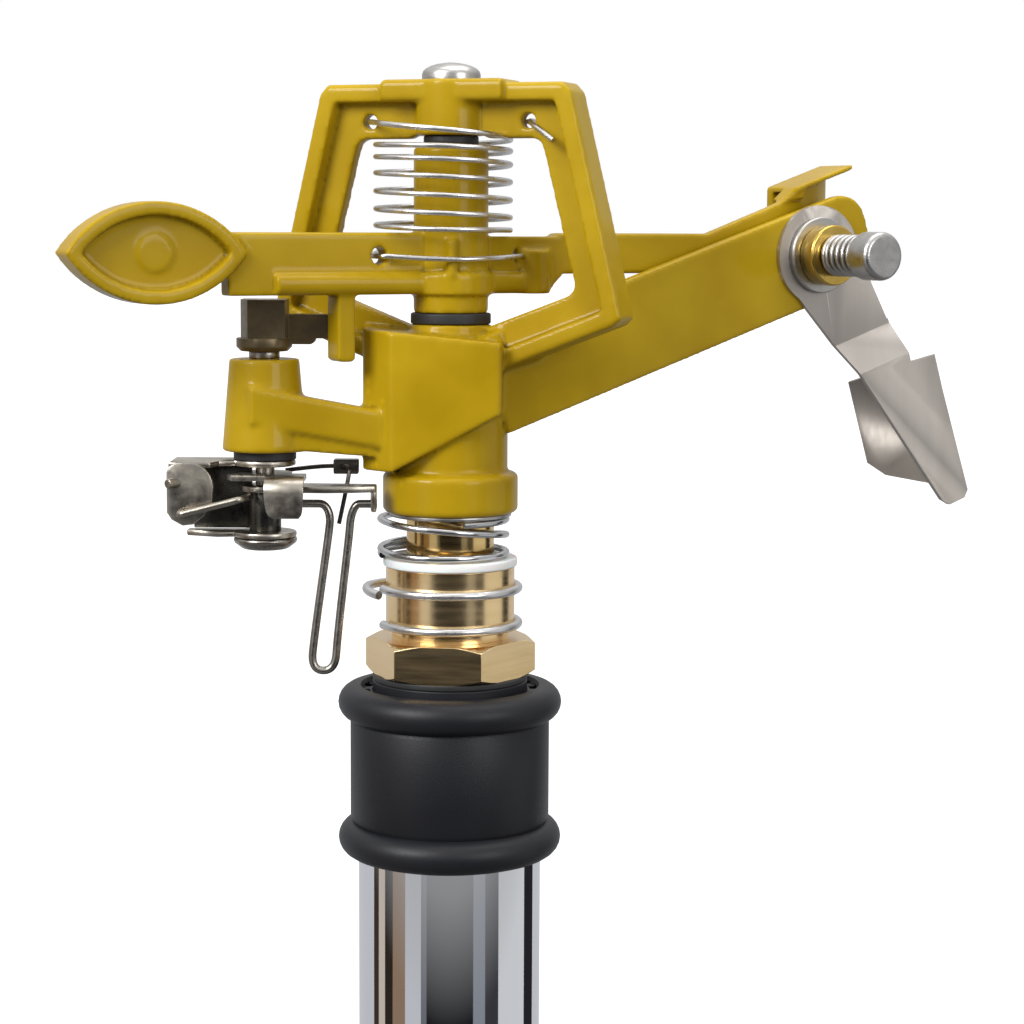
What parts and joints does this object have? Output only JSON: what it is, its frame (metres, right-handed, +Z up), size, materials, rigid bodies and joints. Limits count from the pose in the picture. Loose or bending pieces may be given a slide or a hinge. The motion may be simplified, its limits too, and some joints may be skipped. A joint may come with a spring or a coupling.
{
  "type": "tripod impact sprinkler",
  "caption": "Part-circle impact sprinkler head with arm, bridge, hinged deflector and trip wire, on a plated riser with a brass swivel, held by a folding tripod.",
  "frame": {"origin": "on the ground, under the riser's axis, between the three feet", "axes": "+Z up along the riser, +Y out along the hose inlet, +X to the side the barrel points to"},
  "size_m": [0.3806, 0.3328, 0.502],
  "materials": {
    "cast_gold": "gloss",
    "riser_chrome": "polished",
    "black_moulding": "satin",
    "brass": "machined",
    "stainless": "brushed",
    "spring_wire": "satin",
    "dark_steel": "satin",
    "nylon": "translucent",
    "seal_rubber": "matte",
    "leg_alloy": "satin",
    "foot_rubber": "matte"
  },
  "bodies": {
    "stand": {"riser_tube": "riser_chrome", "riser_collar": "black_moulding", "collar_insert": "black_moulding", "swivel_gasket": "seal_rubber", "swivel_nipple": "brass", "tripod_hub": "black_moulding", "hub_screws": "spring_wire", "hinge_bolts": "spring_wire", "inlet_elbow": "black_moulding", "connector_seal": "seal_rubber", "hose_connector": "brass"},
    "head": {"body_casting": "cast_gold", "nozzle": "brass", "bearing_tube": "brass", "thrust_washer": "seal_rubber", "nylon_washer": "nylon", "bearing_spring": "spring_wire", "spring_washer": "stainless", "spindle": "stainless", "spindle_cap": "stainless", "arm_washer_lower": "seal_rubber", "arm_washer_upper": "seal_rubber", "arm_spring": "spring_wire", "deflector_rivet": "stainless", "deflector_bush": "brass", "deflector_spring": "spring_wire", "trip_washer": "seal_rubber"},
    "arm": {"impact_arm": "cast_gold", "arm_bushes": "brass"},
    "deflector": {"deflector_plate": "stainless", "deflector_washer": "stainless"},
    "trip_lever_set": {"trip_bracket": "dark_steel", "trip_tube": "dark_steel", "toggle_pin": "dark_steel", "toggle_spring": "spring_wire", "trip_lever": "dark_steel"},
    "trip_shaft_set": {"trip_shaft": "dark_steel", "trip_hammer": "dark_steel", "trip_rivet": "dark_steel"},
    "trip_wire": {"trip_wire": "dark_steel"},
    "stop_ring_upper": {"stop_ring_upper": "spring_wire"},
    "stop_ring_lower": {"stop_ring_lower": "spring_wire"},
    "leg_1": {"leg_cap_1": "black_moulding", "upper_leg_1": "leg_alloy"},
    "leg_lock_1": {"lock_collar_1": "black_moulding"},
    "leg_low_1": {"lower_leg_1": "leg_alloy", "leg_foot_1": "foot_rubber"},
    "leg_2": {"leg_cap_2": "black_moulding", "upper_leg_2": "leg_alloy"},
    "leg_lock_2": {"lock_collar_2": "black_moulding"},
    "leg_low_2": {"lower_leg_2": "leg_alloy", "leg_foot_2": "foot_rubber"},
    "leg_3": {"leg_cap_3": "black_moulding", "upper_leg_3": "leg_alloy"},
    "leg_lock_3": {"lock_collar_3": "black_moulding"},
    "leg_low_3": {"lower_leg_3": "leg_alloy", "leg_foot_3": "foot_rubber"}
  },
  "joints": [
    {"name": "head_spin", "type": "hinge", "parent": "stand", "child": "head", "pos_m": [0, 0, 0.41], "axis": [0, 0, 1], "continuous": true},
    {"name": "arm_swing", "type": "hinge", "parent": "head", "child": "arm", "pos_m": [0, 0, 0.473], "axis": [0, 0, 1], "range_deg": [0, 100], "stiffness_Nm_per_rad": 0.03, "springref_deg": -34.38},
    {"name": "deflector_tilt", "type": "hinge", "parent": "head", "child": "deflector", "pos_m": [0.06618, 0.02927, 0.4695], "axis": [0.515, -0.8572, 0], "range_deg": [-10, 70]},
    {"name": "trip_lever_turn", "type": "hinge", "parent": "head", "child": "trip_lever_set", "pos_m": [-0.0313, -0.008, 0.43], "axis": [0, 0, 1], "range_deg": [0, 15]},
    {"name": "trip_shaft_turn", "type": "hinge", "parent": "head", "child": "trip_shaft_set", "pos_m": [-0.0313, -0.008, 0.45], "axis": [0, 0, 1], "range_deg": [0, 15]},
    {"name": "wire_flip", "type": "hinge", "parent": "trip_lever_set", "child": "trip_wire", "pos_m": [-0.019, -0.008, 0.42742], "axis": [-1, 0, 0], "range_deg": [0, 85]},
    {"name": "stop_ring_upper_turn", "type": "hinge", "parent": "stand", "child": "stop_ring_upper", "pos_m": [0, 0, 0.41207], "axis": [0, 0, 1], "continuous": true},
    {"name": "stop_ring_lower_turn", "type": "hinge", "parent": "stand", "child": "stop_ring_lower", "pos_m": [0, 0, 0.40587], "axis": [0, 0, 1], "continuous": true},
    {"name": "leg_fold_1", "type": "hinge", "parent": "stand", "child": "leg_1", "pos_m": [0.02944, 0.017, 0.29497], "axis": [-0.5, 0.866, 0], "range_deg": [0, 28]},
    {"name": "leg_slide_1", "type": "slide", "parent": "leg_1", "child": "leg_low_1", "axis": [0.433, 0.25, -0.866], "range_m": [0, 0.19]},
    {"name": "leg_lock_turn_1", "type": "hinge", "parent": "leg_1", "child": "leg_lock_1", "pos_m": [0.14203, 0.082, 0.0698], "axis": [0.433, 0.25, -0.866], "range_deg": [0, 90]},
    {"name": "leg_fold_2", "type": "hinge", "parent": "stand", "child": "leg_2", "pos_m": [-0.02944, 0.017, 0.29497], "axis": [-0.5, -0.866, 0], "range_deg": [0, 28]},
    {"name": "leg_slide_2", "type": "slide", "parent": "leg_2", "child": "leg_low_2", "axis": [-0.433, 0.25, -0.866], "range_m": [0, 0.19]},
    {"name": "leg_lock_turn_2", "type": "hinge", "parent": "leg_2", "child": "leg_lock_2", "pos_m": [-0.14203, 0.082, 0.0698], "axis": [-0.433, 0.25, -0.866], "range_deg": [0, 90]},
    {"name": "leg_fold_3", "type": "hinge", "parent": "stand", "child": "leg_3", "pos_m": [0, -0.034, 0.29497], "axis": [1, 0, 0], "range_deg": [0, 28]},
    {"name": "leg_slide_3", "type": "slide", "parent": "leg_3", "child": "leg_low_3", "axis": [0, -0.5, -0.866], "range_m": [0, 0.19]},
    {"name": "leg_lock_turn_3", "type": "hinge", "parent": "leg_3", "child": "leg_lock_3", "pos_m": [0, -0.164, 0.0698], "axis": [0, -0.5, -0.866], "range_deg": [0, 90]}
  ],
  "couplings": [
    {"joint": "trip_shaft_turn", "follows": "trip_lever_turn", "ratio": 1}
  ]
}
